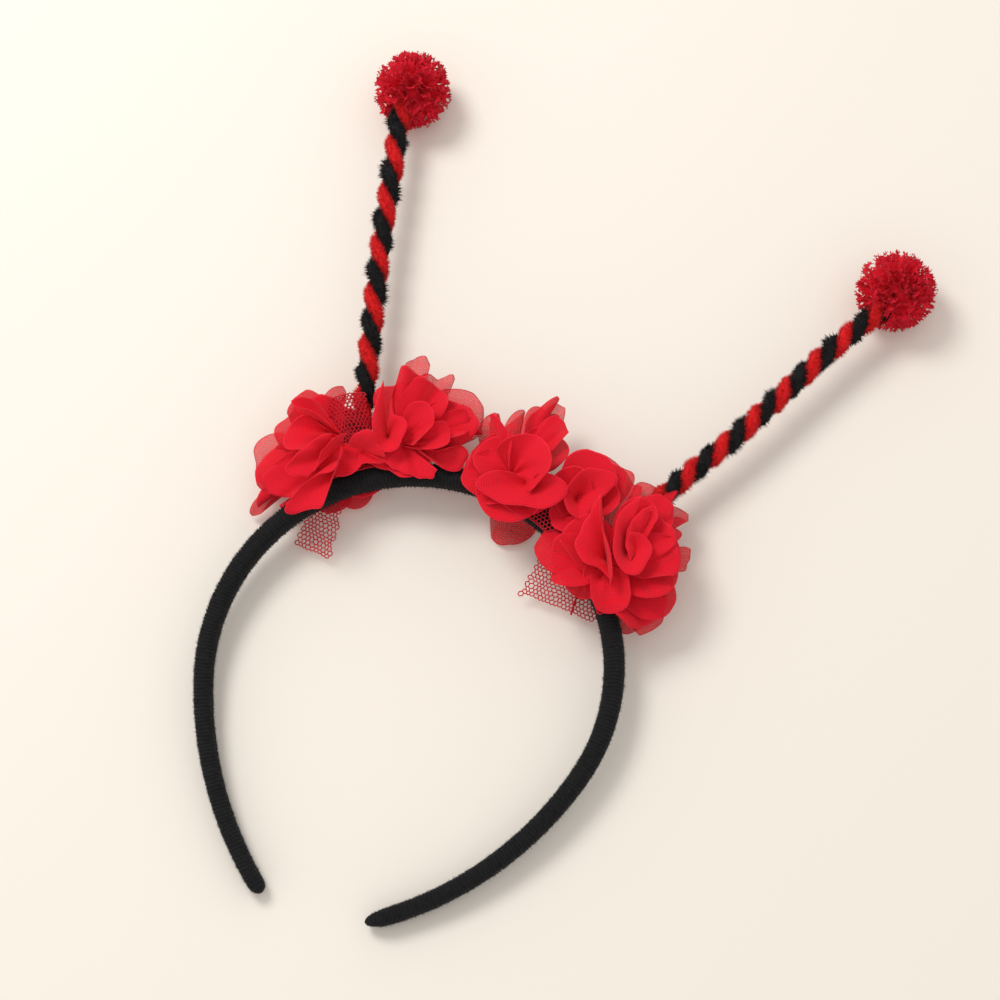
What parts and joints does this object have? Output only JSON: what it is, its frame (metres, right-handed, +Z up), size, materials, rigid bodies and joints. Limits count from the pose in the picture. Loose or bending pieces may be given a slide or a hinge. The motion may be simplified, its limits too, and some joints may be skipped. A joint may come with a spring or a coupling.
{
  "type": "bee antenna headband",
  "caption": "Plush covered hair band with twisted chenille antennae ending in ruffled pompoms, chiffon flowers along the crown and strips of net wrapped under them, lying on its side.",
  "frame": {"origin": "middle of the whole headband's box, on the surface it lies on", "axes": "+Y from the band's open ends to its crown and along the antennae, +Z up from the surface, X across the head"},
  "size_m": [0.1984, 0.2786, 0.0327],
  "materials": {
    "black_plush": "black knitted plush, fine ribs across the band and a short soft pile",
    "red_chenille": "bright red chenille stem, short dense bristles on a hidden wire",
    "black_chenille": "black chenille stem, short dense bristles on a hidden wire",
    "red_pompom_net": "gathered red net with frayed ruffled edges",
    "red_chiffon": "sheer red chiffon petals, fine even weave, matt",
    "red_net": "red tulle net with open six-sided cells"
  },
  "bodies": {
    "root": {"band": "black_plush", "left_stem_red": "red_chenille", "left_stem_black": "black_chenille", "left_pompom": "red_pompom_net", "right_stem_red": "red_chenille", "right_stem_black": "black_chenille", "right_pompom": "red_pompom_net", "flower_1": "red_chiffon", "flower_2": "red_chiffon", "flower_3": "red_chiffon", "flower_4": "red_chiffon", "flower_5": "red_chiffon", "left_net": "red_net", "right_net": "red_net"}
  },
  "joints": []
}
